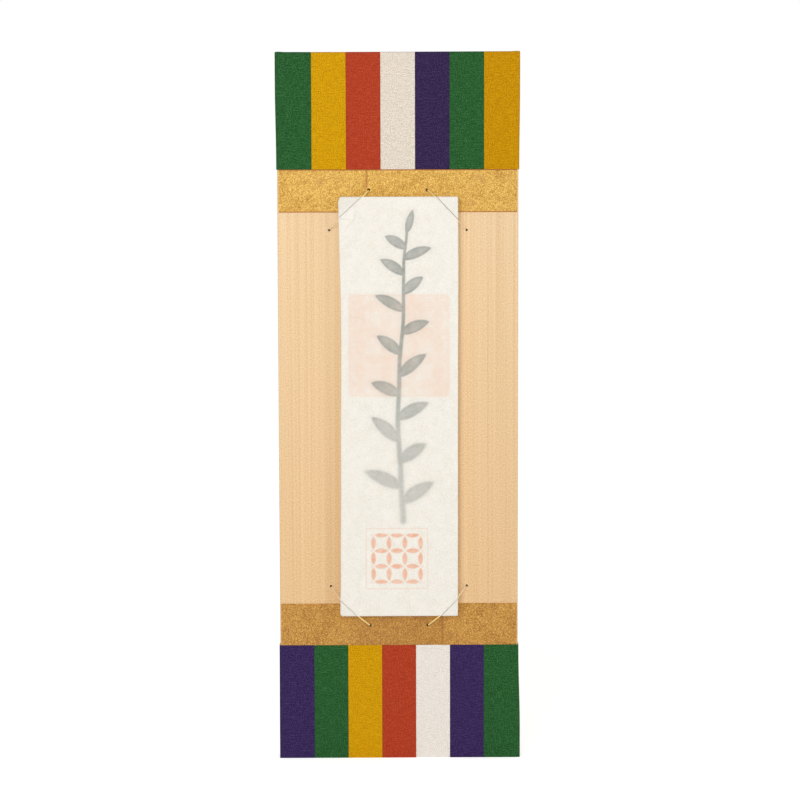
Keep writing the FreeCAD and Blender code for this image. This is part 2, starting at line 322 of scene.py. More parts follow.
def braidedElastic():
    # Braided elastic cord: milky, half-clear yarns over rubber; the tone of the gold, paper or wood under
    # them is painted on, as painted light seen through the cord; two families of yarns cross, drawn 1.2 mm
    # coarse to show
    braid = {"lay": 1.2, "turns": 2, "overWood": "#f6deb6", "overPaper": "#fdf9f2", "overGold": "#ffe495",
             "between": "#dcd6c8", "yarn": "#ffffff", "holeShadeTone": "#2a0e00"}
    material, tree = newMaterial("braided_elastic")
    lay = addNode("UVMap", {"uv_map": "braid"}, tree=tree).outputs[0]  # millimetres along, and turns round
    along, around, _ = addNode("SeparateXYZ", {}, {"Vector": lay}).outputs
    turned = reckon("MULTIPLY", around, 2 * math.pi * braid["turns"])
    ahead = reckon("MULTIPLY", along, 2 * math.pi / braid["lay"])
    right, left = (reckon("SINE", reckon(way, ahead, turned)) for way in ("ADD", "SUBTRACT"))
    level = ranged(reckon("MULTIPLY", right, left), -1.0, 1.0)
    tone = ramp(marked(tree, "ground"), (0.0, braid["overWood"]), (0.5, braid["overPaper"]),
                (1.0, braid["overGold"]))
    shade = ramp(level, (0.0, braid["between"]), (0.5, braid["yarn"]))
    inHoleShade = marked(tree, "inHoleShade")  # painted shade where it lies in its hole
    return finished(material, {
        "Roughness": 0.5,
        "Base Color": mixed(inHoleShade, mixed(0.35, tone, shade, "MULTIPLY"), braid["holeShadeTone"]),
        "Specular IOR Level": ranged(inHoleShade, 0.0, 1.0, 0.3, 0.0),
        "Normal": uneven(level, 0.4, 0.06)})


silkTints = {  # dark, main and light
    "green": ("#123e18", "#25562b", "#3f7844"),
    "yellow": ("#b27a00", "#cf9902", "#e7b310"),
    # painted shade: the same yellow silk, darker, for the top band's right stripe
    "yellow_shaded": ("#a67100", "#c38b00", "#dca60c"),
    "red": ("#98301a", "#b03c20", "#c65238"),
    "white": ("#cabead", "#e2d6c7", "#f7eee3"),
    # painted light: the same white silk, lighter, for the bottom band
    "white_lit": ("#dcd4ca", "#eee7df", "#faf5f0"),
    "purple": ("#211634", "#31224a", "#4a3963"),
    # painted light: the same purple silk, lighter and bluer, for the bottom band
    "purple_relit": ("#24183e", "#352555", "#4e3b6e"),
}
# lit and shaded copies: these stripes are the same cloth as their fellows, with colour painted for the light
# on them
litAndShadedSilks = {"top_yellow_right": "yellow_shaded", "bottom_purple_left": "purple_relit", "bottom_purple_right": "purple_relit",
              "bottom_white": "white_lit"}
# the lower strip is the same gold paper as the upper one; its darker tints are painted shade, and cutEdge
# paints shadow lines on the upper strip
goldTints = {
    "top": {"dark": "#946421", "low": "#ba8b33", "main": "#d4a64b", "pale": "#edce75", "brown": "#9c5e24",
            "streakAt": -0.0182, "streakFrom": 0.1275, "streak": 1.1, "cutEdge": 1.0, "packetShade": 0.0},
    "bottom": {"dark": "#875926", "low": "#a9762c", "main": "#bf8a3c", "pale": "#dfb460", "brown": "#86501f",
               "streakAt": 0.0256, "streakFrom": 0.1215, "streak": 0.75, "cutEdge": 0.0, "packetShade": 0.2},
}
silkMaterials = {colour: slubSilk(f"slub_silk_{colour}", tint) for colour, tint in silkTints.items()}
woodMaterial = hinokiWood()
paperMaterial = innerPaper()
carried = {
    "backing_board": woodMaterial,
    "gold_strip_top": goldPaper("gold_flecked_paper", goldTints["top"]),
    "gold_strip_bottom": goldPaper("gold_flecked_paper_shaded_lower", goldTints["bottom"]),
}
for nodeName, finish in carried.items():
    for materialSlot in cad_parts[nodeName].material_slots:
        materialSlot.material = finish
print("materials made and given to the carried solids")


def deselect():
    bpy.ops.object.select_all(action="DESELECT")


def wholeMesh():
    bpy.ops.mesh.select_all(action="SELECT")


def mode(name):
    bpy.ops.object.mode_set(mode=name)


def activate(piece):
    deselect()
    piece.select_set(True)
    bpy.context.view_layer.objects.active = piece


def near(a, b, slack=0.05 * mm):
    return abs(a - b) < slack


def smooth(low, high, value):  # a soft step from 0 at low to 1 at high
    share = np.clip((value - low) / (high - low), 0, 1)
    return share * share * (3 - 2 * share)


def readAll(items, name, wide=3):  # one property of a mesh's points, corners or faces, a row for each
    values = np.zeros(len(items) * wide, float if wide > 1 else int)
    items.foreach_get(name, values)
    return values.reshape(-1, wide) if wide > 1 else values


def writeMark(mesh, name, values):  # a value for each point, which the material reads
    mesh.attributes.new(name, "FLOAT", "POINT").data.foreach_set("value", values.astype(np.float32))


def startPiece(name):  # names the new primitive and brings its origin to the world's
    piece = bpy.context.object
    piece.name = name
    piece.data.name = name
    bpy.ops.object.transform_apply(location=True, rotation=True, scale=True)
    return piece


def linkPiece(name, data):  # a new object, on its own and active
    piece = bpy.data.objects.new(name, data)
    data.name = name
    bpy.context.scene.collection.objects.link(piece)
    activate(piece)
    return piece


def dress(piece, finish, nodeName):  # a finished piece's material, body, node and slot
    piece.data.materials.clear()
    piece.data.materials.append(finish)
    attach(piece, "root")
    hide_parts(nodeName)


def startChoice(piece, kind):  # leaves nothing selected, before edges or faces are
    mode("OBJECT")
    for group in (piece.data.vertices, piece.data.edges, piece.data.polygons):
        group.foreach_set("select", [False] * len(group))
    bpy.context.tool_settings.mesh_select_mode = (False, kind == "EDGE", kind == "FACE")


def choose(piece, kind, test):  # selects a mesh's faces or edges by their place, ready for the next operator
    startChoice(piece, kind)
    mesh = piece.data
    if kind == "FACE":
        for face in mesh.polygons:
            face.select = test(face.center, face.normal)
    else:
        for edge in mesh.edges:
            edge.select = test(*[mesh.vertices[v].co for v in edge.vertices])
    mode("EDIT")


def chooseSpots(piece, test):  # selects faces by the places of all their middles at once, mm
    startChoice(piece, "FACE")
    middles = readAll(piece.data.polygons, "center") / mm
    piece.data.polygons.foreach_set("select", test(middles[:, 0], middles[:, 2]))
    mode("EDIT")


def cutThrough(place, normal):  # a mesh line right through the piece
    wholeMesh()
    bpy.ops.mesh.bisect(plane_co=place, plane_no=normal)


silk = {
    "front": -10.5, "back": 0.0,  # mm, the cloth's outer faces
    "edge": 139.5, "end": 207.0,  # mm from the board's middle
    "edgeLift": 0.22, "liftOver": 1.8,  # the cut edge stands up a little from the gold paper
    "side": 70.5, "stripe": 20.0, "hem": 12.0,
    "frontTurn": 1.2, "backTurn": 0.45, "cornerTurn": 0.7,
    "thickness": 0.42, "cutEdge": 0.2,
    "grid": 1.6,  # mm between the mesh lines that let the cloth lie a little uneven
    "uneven": 0.025, "waves": 90,  # mm, and times a metre
    "tuck": 0.28,  # mm the folded corner stands up on the end
    "mitre": 0.2,  # depth of the slanting joint in the hem behind
    # mm that the wrapped cloth stands out at a band's outer corners: sideways, and past the board's end
    "ease": {"top_left": (0.5, 0.08), "top_right": (0.4, -0.3),
             "bottom_left": (0.1, 0.4), "bottom_right": (0.9, 0.65)},
    "easeFrom": 4, "easeOver": 45, "easeWide": 12,  # mm from the cut edge, to its full size, in from the side
}


def weaveCoordinates(piece, shift):  # lays the cloth's own metres on it: weft across, warp up or over the end
    mesh = piece.data
    layer = mesh.uv_layers.new(name="weave")
    spots = readAll(mesh.vertices, "co")[readAll(mesh.loops, "vertex_index", 1)]
    turnedTo = np.abs(readAll(mesh.polygons, "normal")).argmax(1)
    facing = np.repeat(turnedTo, readAll(mesh.polygons, "loop_total", 1))
    across = np.where(facing == 0, spots[:, 1] + spots[:, 0], spots[:, 0])
    along = np.where(facing == 2, spots[:, 1] + spots[:, 2], spots[:, 2])
    layer.data.foreach_set("uv", np.column_stack((across + shift, along + shift * 0.37)).ravel())
    mesh.uv_layers.active = layer


def silkStripe(name, left, right, outer):
    # one stripe of the top band: front leaf, end and hem, and the side if it is outer
    depth, tall = silk["back"] - silk["front"], silk["end"] - silk["edge"]
    deselect()
    bpy.ops.mesh.primitive_cube_add(
        size=1,
        location=((left + right) / 2 * mm, (silk["front"] + depth / 2) * mm, (silk["edge"] + tall / 2) * mm),
        scale=((right - left) * mm, depth * mm, tall * mm))
    piece = startPiece(name)
    frontY, backY, endZ, edgeZ, sideX = (silk[k] * mm for k in ("front", "back", "end", "edge", "side"))
    hemLine, sideLine = ((silk[k] - silk["hem"]) * mm for k in ("end", "side"))
    mode("EDIT")
    cutThrough((0, 0, hemLine), (0, 0, 1))
    if outer:
        cutThrough((sideLine, 0, 0), (1, 0, 0))

    def isOpen(centre, normal):  # the cut sides, the lower edge and the back inside the hems carry no cloth
        if near(centre.z, edgeZ) and abs(normal.z) > 0.9:
            return True
        if abs(normal.x) > 0.9:
            return near(centre.x, left * mm) or (near(centre.x, right * mm) and not outer)
        if normal.y > 0.9:
            return centre.z < hemLine and (not outer or centre.x < sideLine)
        return False

    def lies(a, b, axis, place):  # an edge with both its ends on a plane
        return near(a[axis], place) and near(b[axis], place)

    def atRim(a, b):
        return lies(a, b, 2, endZ) or (outer and lies(a, b, 0, sideX))

    choose(piece, "FACE", isOpen)
    bpy.ops.mesh.delete(type="FACE")
    turns = [("frontTurn", lambda a, b: lies(a, b, 1, frontY) and atRim(a, b)),
             ("backTurn", lambda a, b: lies(a, b, 1, backY) and atRim(a, b))]
    if outer:
        turns.append(("cornerTurn", lambda a, b: lies(a, b, 0, sideX) and lies(a, b, 2, endZ)))
    for radius, test in turns:
        choose(piece, "EDGE", test)
        bpy.ops.mesh.bevel(offset=silk[radius] * mm, segments=4, affect="EDGES")
    for axis, size in enumerate((right - left, depth, tall)):  # mesh lines along each straight run
        least = max(4 * mm, size * mm * 0.5)
        choose(piece, "EDGE", lambda a, b: (b - a).length > least and abs((b - a).normalized()[axis]) > 0.99)
        bpy.ops.mesh.subdivide(number_cuts=max(1, round(size / silk["grid"]) - 1))
    if outer:
        foldLine = silk["side"] + silk["front"]  # mm across plus depth, along the tuck's slanting edge
        slants = ((2, endZ, foldLine * mm, (1, 1, 0), (-0.1, 0.1)),
                  (1, backY, sideX, (1, 0, -1), (-0.35, 0.0, 0.35)))  # and along the joint in the hem behind
        for axis, place, lineX, normal, offsets in slants:
            for offset in offsets:
                choose(piece, "FACE", lambda centre, facing: facing[axis] > 0.9 and near(centre[axis], place))
                bpy.ops.mesh.bisect(plane_co=(lineX + offset * mm, 0, endZ), plane_no=normal)
        mode("OBJECT")
        for vertex in piece.data.vertices:
            x, y, z = vertex.co / mm
            if near(vertex.co.z, endZ) and x + y > foldLine:
                fromRim = min(silk["side"] - x, silk["back"] - y)
                vertex.co.z += silk["tuck"] * mm * min(1, max(0, (fromRim - 0.5) / 1.2))
            if near(vertex.co.y, backY) and abs((x - z) - (silk["side"] - silk["end"])) < 0.1:
                vertex.co.y -= silk["mitre"] * mm
    mode("OBJECT")
    return piece


def finishSilk(piece, number, band):  # the cloth's thickness, its soft cut edges and its small unevenness
    activate(piece)
    reach = (silk["side"] - silk["easeWide"]) * mm
    sideEase, endEase = zip(*[silk["ease"][f"{band}_{side}"] for side in ("left", "right")])
    for vertex in piece.data.vertices:
        up = min(1, max(0, (abs(vertex.co.z) / mm - silk["edge"] - silk["easeFrom"]) / silk["easeOver"]))
        out = min(1, max(0, (abs(vertex.co.x) - reach) / (silk["easeWide"] * mm)))
        rightShare = 0.5 + vertex.co.x / mm / (2 * silk["side"])
        past = endEase[0] + (endEase[1] - endEase[0]) * rightShare
        grown = mm * up * up * (3 - 2 * up)
        vertex.co.z += math.copysign(past * grown, vertex.co.z)
        vertex.co.x += math.copysign(sideEase[vertex.co.x > 0] * grown * out, vertex.co.x)
        wave = noise.noise(vertex.co * silk["waves"] + Vector((0, 0, number * 3.1))) + 0.6
        if near(vertex.co.y, silk["front"] * mm, 0.3 * mm):
            aboveEdge = (abs(vertex.co.z) / mm - silk["edge"]) / silk["liftOver"]
            vertex.co.y -= silk["edgeLift"] * mm * max(0, 1 - aboveEdge)
            vertex.co.y += wave * silk["uneven"] * mm
    settle(piece.modifiers.new("wall", "SOLIDIFY"), thickness=silk["thickness"] * mm, offset=-1)
    bpy.ops.object.modifier_apply(modifier="wall")
    settle(piece.modifiers.new("cutEdge", "BEVEL"), width=silk["cutEdge"] * mm, segments=2,
           limit_method="ANGLE", angle_limit=math.radians(50))
    bpy.ops.object.modifier_apply(modifier="cutEdge")
    bpy.ops.object.shade_smooth_by_angle(angle=math.radians(40))
    weaveCoordinates(piece, number * 0.0731)


bandOrder = {
    "top": ("green_left", "yellow_left", "red", "white", "purple", "green_right", "yellow_right"),
    "bottom": ("purple_left", "green_left", "yellow", "red", "white", "purple_right", "green_right"),
}
innerStripe = silkStripe("silkInner", -10, 10, False)
outerStripe = silkStripe("silkOuter", 50, 70.5, True)
mirrorX, mirrorZ = Matrix.Scale(-1, 4, (1, 0, 0)), Matrix.Scale(-1, 4, (0, 0, 1))
stripeNumber = 0
for band, names in bandOrder.items():
    for place, stripeName in enumerate(names):
        stripeNumber += 1
        source, turn = outerStripe, mirrorX if place == 0 else Matrix.Identity(4)
        if 0 < place < 6:
            source, turn = innerStripe, Matrix.Translation(((place - 3) * silk["stripe"] * mm, 0, 0))
        if band == "bottom":
            turn = mirrorZ @ turn
        piece = linkPiece(f"silk_cloth_{band}_{stripeName}", source.data.copy())
        piece.data.transform(turn)
        if turn.determinant() < 0:
            piece.data.flip_normals()
        finishSilk(piece, stripeNumber, band)
        colourName = stripeName.split("_")[0]
        dress(piece, silkMaterials[litAndShadedSilks.get(f"{band}_{stripeName}", colourName)],
              f"silk_{band}_{stripeName}")
for spare in (innerStripe, outerStripe):
    bpy.data.objects.remove(spare)
print("silk stripes wrapped:", stripeNumber)


packet = {
    "wide": 69.0, "tall": 245.0, "back": 10.25, "front": 16.75, "rise": 1.2,
    "turn": 0.8, "corner": 0.7,
    "cell": 0.68,  # mm between the mesh lines, halved in the fine parts and smaller by far along the cords
    "fineBy": 0.9, "fineAbove": -10,
    "clipped": (((-1, 1), 3.2, 1.4), ((-1, -1), 1.6, 1.0)),  # mm folded off two corners, up and across
    "clipSharp": 9, "clipShare": 0.42,  # the fold's ends are rounded
    "give": 0.75,  # how far the layers under the wrapper lie back, clear of the cords' grooves
    "crisp": 0.5,  # mm, a crease's steep side, on the left of its run
    # creases: from and to in mm, then depth (a ridge is negative) and how broad the gentle side is
    "creases": (
        ((-34.2, 110.8), (-26.4, 109.5), 0.75, 4.0), ((-24.2, 120.8), (-26.4, 106.0), 0.55, 2.4),
        ((-30.4, 104.6), (-23.4, 112.4), -0.45, 2.2), ((-28.6, 101.4), (-20.5, 108.0), 0.35, 2.6),
        ((-12.0, 118.0), (-24.0, 115.0), 0.3, 2.4), ((34.4, -121.8), (29.2, -118.0), 0.6, 2.4),
        ((27.2, -117.4), (23.4, -110.8), 0.25, 2.4), ((-29.0, -117.6), (-23.0, -109.6), 0.35, 2.0),
        ((19.8, 103.6), (25.8, 116.4), 0.3, 2.4), ((-32.0, 62.5), (-18.0, 67.5), 0.34, 2.2),
        ((-14.0, 61.0), (-28.5, 58.0), -0.3, 2.0), ((-30.5, 54.5), (-20.0, 53.0), 0.32, 1.8),
    ),
    # mm that the wrapper draws in on its left, by height, and stands out on its right near the top
    "leftIn": ((-121, 0), (-103, 0.4), (-80, 0.45), (-56, 0.7), (-33, 0.8), (-9, 0.85), (14, 1.1), (37, 1.2),
               (61, 1.1), (72, 0.9), (84, 0.6), (96, 0.35), (107, 0.2), (119, -0.15), (124, -0.25)),
    "rightOut": ((-121, 0.07), (-80, 0.12), (-27, 0.13), (35, 0.27), (60, 0.37), (84, 0.47), (100, 0.37),
                 (124, 0.25)),
    "swell": 0.12,
    "stepAt": 7.1, "step": 0.26,  # the lower sleeve stands a little proud
}
halfWide, halfTall = packet["wide"] / 2, packet["tall"] / 2


def drawnIn(across, up):  # the packet's uneven sides, by height
    leftIn, rightOut = (np.interp(up, *zip(*packet[side])) for side in ("leftIn", "rightOut"))
    return across + np.where(across < 0, -across * leftIn, across * rightOut) / halfWide


def foldCorners(across, up, inside):  # two corners are folded in; inside is mm within the wrapper
    sharp = packet["clipSharp"]
    for (signX, signZ), upCut, acrossCut in packet["clipped"]:
        beyond = ((signX * across - halfWide + inside) / acrossCut
                  + (signZ * up - halfTall + inside) / upCut + 1)
        cut = np.log1p(np.exp(np.minimum(beyond * sharp, 30))) / sharp * packet["clipShare"]
        across, up = across - signX * cut * acrossCut, up - signZ * cut * upCut
    return across, up


for nodeName, pieceName, finish, slotName in (  # the layers under the wrapper, drawn in as it is
        ("ofuda_core", "ofuda_core_slip", woodMaterial, "core_wood"),
        ("ofuda_sleeve_lower", "ofuda_sleeve_paper_lower", paperMaterial, "sleeve_paper"),
        ("ofuda_sleeve_upper", "ofuda_sleeve_paper_upper", paperMaterial, "sleeve_paper")):
    piece = linkPiece(pieceName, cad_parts[nodeName].data.copy())
    mode("EDIT")
    wholeMesh()
    bpy.ops.mesh.remove_doubles(threshold=0.001 * mm)
    for height in range(-114, 120, 12):
        cutThrough((0, 0, height * mm), (0, 0, 1))
    mode("OBJECT")
    middleDepth = (packet["back"] + packet["front"]) / 2
    for vertex in piece.data.vertices:
        across, depth, up = vertex.co.x / mm, -vertex.co.y / mm, vertex.co.z / mm - packet["rise"]
        across, up = foldCorners(across, up, 0.6)
        depth -= packet["give"] if depth > middleDepth else 0
        vertex.co = Vector((drawnIn(across, up + packet["rise"]), -depth, up + packet["rise"])) * mm
    dress(piece, finish, nodeName)
print("packet's inner layers laid")


sprig = {
    "stem": [(2.6, -65), (1.2, -38), (-0.4, -8), (0.6, 24), (3.0, 56), (3.2, 84), (5.0, 104)],
    "stemWide": (1.7, 0.8),
    "leafLong": 23.0, "leafWide": 4.4, "droop": 2.6,
    "leaves": [(-54, 1), (-45, -1), (-30, 1), (-18, -1), (-5, 1), (9, -1), (20, 1), (33, -1), (45, 1),
               (58, -1), (68, 1), (79, -1), (88, 1), (94, -1)],  # mm up, and the side
    "lean": 52,  # degrees from the stem
    "tipFrom": (5.0, 103), "tipRun": (3.5, 13), "tipWide": 2.1,
}


def stemPlace(height):
    points = sprig["stem"]
    for (ax, az), (bx, bz) in zip(points, points[1:]):
        if az <= height <= bz:
            share = (height - az) / (bz - az)
            return ax + (bx - ax) * (share * share * (3 - 2 * share))
    return points[-1][0]


def leafShape(share):  # how broad a leaf is along its length, at most 1
    return math.sin(math.pi * min(1, share * 0.94 + 0.06)) ** 0.8


dabs = []  # the brush's round dabs: across, up, half width
low, high = sprig["stem"][0][1], sprig["stem"][-1][1]
root, top = sprig["stemWide"]
for share in np.linspace(0, 1, 260):
    height = low + (high - low) * share
    dabs.append((stemPlace(height), height, root + (top - root) * share))
for number, (height, side) in enumerate(sprig["leaves"]):
    grown = 1.0 - 0.28 * (height + 54) / 148
    long = sprig["leafLong"] * grown * (1 + 0.10 * math.sin(number * 2.3))
    lean = math.radians(sprig["lean"] + 9 * math.sin(number * 1.7))
    for share in np.linspace(0, 1, 34):
        dabs.append((
            stemPlace(height) + side * long * share * math.sin(lean),
            height + long * share * math.cos(lean) - sprig["droop"] * share * share,
            sprig["leafWide"] * grown * leafShape(share) * (1 - 0.25 * share) + 0.12))
for share in np.linspace(0, 1, 30):  # the leaf at the tip
    (tipX, tipZ), (runX, runZ) = sprig["tipFrom"], sprig["tipRun"]
    dabs.append((tipX + runX * share, tipZ + runZ * share, sprig["tipWide"] * leafShape(share) + 0.1))


def gapToStrokes(across, up):  # mm outside the nearest stroke, and negative inside one
    gap = np.full(len(across), 1e9)
    for dabX, dabZ, dabWide in dabs:
        gap = np.minimum(gap, np.hypot(across - dabX, up - dabZ) - dabWide)
    return gap


def cordCrossings(xSign, zSign):  # where a cord crosses the packet's end and side, seen from the front
    start, finish = (Vector((xSign * across, zSign * up)) for across, up in (cords["inner"], cords["outer"]))
    straight = (finish - start).normalized()
    cornerward = Vector((xSign * abs(straight.y), zSign * abs(straight.x)))
    atEnd = start + straight * ((packet["rise"] + zSign * halfTall - start.y) / straight.y)
    atSide = start + straight * ((xSign * halfWide - start.x) / straight.x)
    slipEnd, slipSide = cords["slip"][(xSign, zSign)]
    atEnd = atEnd + Vector((cornerward.x * slipEnd * cords["slant"], 0))
    atSide = atSide + Vector((0, cornerward.y * slipSide * cords["slant"]))
    return start, atEnd, atSide, finish, (atSide - atEnd).normalized(), cornerward


cordCorners = [(x, z) for x in (-1, 1) for z in (1, -1)]
cordLines = [cordCrossings(*corner) for corner in cordCorners]


def besideLine(across, up, start, finish):  # mm along a line, mm off it to its right, and its length
    run = math.dist(start, finish)
    wayX, wayZ = (finish[0] - start[0]) / run, (finish[1] - start[1]) / run
    fromX, fromZ = across - start[0], up - start[1]
    return fromX * wayX + fromZ * wayZ, fromX * wayZ - fromZ * wayX, run


def gapToLine(across, up, start, finish, beyond):
    along, off, run = besideLine(across, up, start, finish)
    return np.hypot(along - np.clip(along, -beyond, run + beyond), off)


def gapToCords(across, up):
    return np.min([gapToLine(across, up, line[1], line[2], 3.0) for line in cordLines], axis=0)


stamps = {  # mm; the rim is a thin line so far inside the stamp's edge, and so wide
    "pink": {"x": (-29.1, 30.0), "z": (7.6, 67.6), "corner": 3.0, "pitch": 15.0, "soft": 0.5,
             "rim": (1.1, 0.7)},
    "red": {"x": (-19.5, 17.3), "z": (-105.2, -69.0), "corner": 1.0, "pitch": 9.2, "soft": 0.85,
            "rim": (0.4, 0.6)},
}


def finePart(across, up):  # the print's crisp upper edges, the small stamp and the creases
    strokes = (np.abs(gapToStrokes(across, up)) < packet["fineBy"]) & (up > packet["fineAbove"])
    (left, right), (low, high) = stamps["red"]["x"], stamps["red"]["z"]
    stamp = (across > left - 0.5) & (across < right + 0.5) & (up > low - 0.5) & (up < high + 0.5)
    folds = np.min([gapToLine(across, up, a, b, 0.3) for a, b, _, _ in packet["creases"]], axis=0) < 0.9
    return (strokes | stamp | folds) & (gapToCords(across, up) > 1.8)


deselect()
turnR, middleZ = packet["turn"], packet["rise"] * mm
flatX, flatZ = halfWide - turnR, halfTall - turnR
cellsX, cellsZ = (round(2 * flat / packet["cell"]) for flat in (flatX, flatZ))
bpy.ops.mesh.primitive_grid_add(
    x_subdivisions=cellsX, y_subdivisions=cellsZ, size=1,
    location=(0, -packet["front"] * mm, middleZ), rotation=(math.pi / 2, 0, 0))
wrapper = startPiece("ofuda_wrapper_paper")
mode("EDIT")
wholeMesh()
bpy.ops.transform.resize(value=(2 * flatX * mm, 1, 2 * flatZ * mm), center_override=(0, 0, middleZ))
chooseSpots(wrapper, finePart)
bpy.ops.mesh.subdivide(number_cuts=1)
chooseSpots(wrapper, lambda across, up: gapToCords(across, up) < 1.3)
bpy.ops.mesh.subdivide(number_cuts=7)
edgeX, edgeZ = flatX * mm, flatZ * mm
choose(wrapper, "EDGE", lambda a, b: (near(abs(a.x), edgeX) and near(abs(b.x), edgeX))
       or (near(abs(a.z - middleZ), edgeZ) and near(abs(b.z - middleZ), edgeZ)))
angles = [step * math.pi / 16 for step in range(9)]
loops = [(flatX + turnR * math.sin(t), flatZ + turnR * math.sin(t),
          packet["front"] - turnR * (1 - math.cos(t))) for t in angles]
loops += [(flatX + turnR * math.cos(t), flatZ + turnR * math.cos(t),
           packet["back"] + turnR * (1 - math.sin(t))) for t in angles[::4]]
for (wasX, wasZ, wasY), (toX, toZ, toY) in zip(loops, loops[1:]):  # draws the open edge back, loop by loop
    bpy.ops.mesh.extrude_edges_move(TRANSFORM_OT_translate={"value": (0, (wasY - toY) * mm, 0)})
    bpy.ops.transform.resize(value=(toX / wasX, 1, toZ / wasZ), center_override=(0, 0, middleZ))
bpy.ops.mesh.edge_face_add()
wholeMesh()
bpy.ops.mesh.normals_make_consistent(inside=False)
mode("OBJECT")


def patchy(perAcross, perUp, layer):  # slow unevenness over the wrapper, in waves a mm
    return np.array([noise.noise(Vector((px * perAcross, pz * perUp, layer))) for px, pz in zip(x, z)])


mesh = wrapper.data
spots = readAll(mesh.vertices, "co") / mm
x, depth, z = spots[:, 0].copy(), -spots[:, 1].copy(), spots[:, 2] - packet["rise"]
straightX, straightZ = halfWide - packet["corner"], halfTall - packet["corner"]
cornerX = np.maximum(np.abs(x) - straightX, 0)  # soft folded corners
cornerZ = np.maximum(np.abs(z) - straightZ, 0)
square, hypot = np.maximum(cornerX, cornerZ), np.hypot(cornerX, cornerZ)
pull = np.where(hypot > 0, square / np.maximum(hypot, 1e-9), 1)
x = np.where(cornerX > 0, np.sign(x) * (straightX + cornerX * pull), x)
z = np.where(cornerZ > 0, np.sign(z) * (straightZ + cornerZ * pull), z)
x, z = foldCorners(x, z, 0)
z += packet["rise"]
frontShare = smooth(packet["back"] + 2, packet["front"] - 0.4, depth)
x = drawnIn(x, z)
fromSide, fromEnd = halfWide - np.abs(x), halfTall - np.abs(z - packet["rise"])
waves = patchy(0.028, 0.016, 1.7) + 0.45 * patchy(0.09, 0.05, 6.2)
depth += frontShare * (smooth(0, 6, fromSide) * smooth(0, 6, fromEnd)) * (waves * packet["swell"] - 0.02)
depth -= frontShare * smooth(-0.22, 0.22, z - packet["stepAt"]) * packet["step"] * smooth(
    0, 1.5, fromSide) * smooth(60, 30, z) * (0.75 + 0.5 * smooth(-16, -20, x))
grooveShade = np.zeros(len(x))
for corner, (_, a, b, _, way, cornerward) in zip(cordCorners, cordLines):
    along = (x - a.x) * way.x + (z - a.y) * way.y
    run = (b - a).length
    across = (x - a.x - way.x * along) * cornerward.x + (z - a.y - way.y * along) * cornerward.y
    within = smooth(-2.5, -1.2, along) * smooth(run + 2.5, run + 1.2, along)
    (inner, beyond), soft = cords["trench"], cords["trenchSoft"]
    trench = smooth(inner - soft, inner + soft, across) * smooth(beyond + soft, beyond - soft, across)
    dentWide, dentShare = np.where(across < 0, 0.8, 2.2), np.where(across < 0, 0.3, 1)
    dent = np.exp(-((across / dentWide) ** 2)) * cords["dent"] * dentShare
    depth -= frontShare * within * (trench * cords["trenchDeep"] + dent)
    # painted shade in the gape beside each cord and on the corner beyond it
    gape = smooth(0.15, 0.3, across) * smooth(beyond + 0.3, beyond + 0.02, across)
    grooveShade = np.maximum(grooveShade, frontShare * within * gape * cords["shade"][corner])
    grooveShade = np.maximum(grooveShade, frontShare * smooth(0.6, 1.0, across) * cords["flap"][corner])
for start, finish, deep, broad in packet["creases"]:
    along, across, run = besideLine(x, z, start, finish)
    fold = np.maximum(0, 1 - np.where(across < 0, -across / packet["crisp"], across / broad))
    depth -= frontShare * deep * fold * smooth(-0.6, run * 0.25, along) * smooth(run + 0.6, run * 0.75, along)
mesh.vertices.foreach_set("co", (np.column_stack((x, -depth, z)) * mm).ravel())
mesh.update()
mesh.calc_loop_triangles()
print("wrapper folded and creased:", len(mesh.loop_triangles), "triangles")

strokeGap = gapToStrokes(x, z)
blur = 0.35 + 1.0 * smooth(70, -60, z)  # the paper lies less close to the print lower down
inkBody = smooth(0, 1, 0.5 - strokeGap / (2 * blur)) * (0.92 - 0.25 * smooth(60, -60, z))
# thinner inside the stroke, darker where the brush rested
inkBody *= 1 - 0.16 * smooth(-0.4, -1.8, strokeGap) + 0.16 * patchy(0.16, 0.10, 4.4)
inkWash = np.clip(np.maximum(inkBody, 0.09 * smooth(3.2, 0, strokeGap)), 0, 1)


def sevenTreasures(facts):
    # linked rings, a petal where two overlap, in a rounded square with a thin rim: gives the mm inside its
    # edge, the rim, the petals, and the mm from the nearest ring
    (left, right), (low, high) = facts["x"], facts["z"]
    pitch, soft, corner, (rimAt, rimWide) = (facts[k] for k in ("pitch", "soft", "corner", "rim"))
    acrossStamp, upStamp = x - (left + right) / 2, z - (low + high) / 2
    outX = np.abs(acrossStamp) - ((right - left) / 2 - corner)
    outZ = np.abs(upStamp) - ((high - low) / 2 - corner)
    outside = np.hypot(np.maximum(outX, 0), np.maximum(outZ, 0)) + np.minimum(np.maximum(outX, outZ), 0)
    rim = smooth(rimWide, 0.0, np.abs(corner - outside - rimAt)) * 0.35
    overlaps, nearest = np.zeros(len(x)), np.full(len(x), 1e9)
    for stepX in (-1, 0, 1):
        for stepZ in (-1, 0, 1):
            ringX = (np.round(acrossStamp / pitch) + stepX) * pitch
            ringZ = (np.round(upStamp / pitch) + stepZ) * pitch
            reach = np.hypot(acrossStamp - ringX, upStamp - ringZ) - pitch / math.sqrt(2)
            overlaps += smooth(soft, -soft, reach)
            nearest = np.minimum(nearest, np.abs(reach))
    return corner - outside, rim, np.clip(overlaps - 1, 0, 1), nearest


